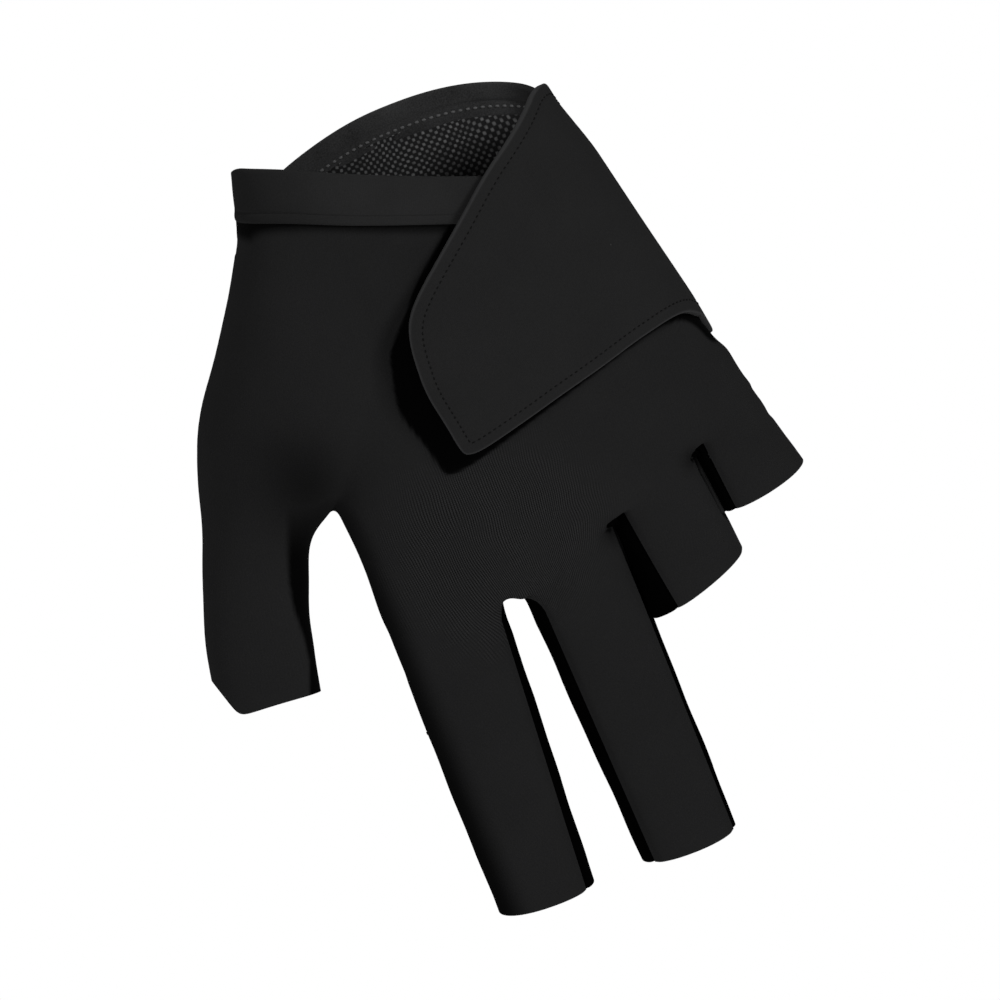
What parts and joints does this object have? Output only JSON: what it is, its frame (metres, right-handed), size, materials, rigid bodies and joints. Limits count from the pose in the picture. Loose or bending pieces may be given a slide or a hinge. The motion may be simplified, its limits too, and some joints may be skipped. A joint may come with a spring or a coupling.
{
  "type": "billiard glove",
  "caption": "Left-hand cue sports glove in worn form: open finger ends, slit wrist with folded cuff and a wide closure flap over the back.",
  "frame": {"origin": "middle of the wrist opening, where the hand goes in", "axes": "+Z from the fingertips up to the wrist, +X to the little finger's side, +Y to the palm, so the back of the hand faces -Y"},
  "size_m": [0.1315, 0.0486, 0.1776],
  "materials": {
    "knit": "smooth stretch knit, faint ribs, matt",
    "mesh": "open diamond mesh, matt",
    "gusset": "plain stretch cloth, matt",
    "band": "folded cloth band with a row of stitches",
    "strap": "cloth-faced foam, stitched round the edge",
    "hook": "hook tape"
  },
  "bodies": {
    "root": {"back_panel": "knit", "palm_panel": "mesh", "gusset_index_middle": "gusset", "gusset_middle_ring": "gusset", "gusset_ring_little": "gusset", "cuff_band": "band", "palm_hem": "band", "strap": "strap", "hook_patch": "hook"}
  },
  "joints": []
}
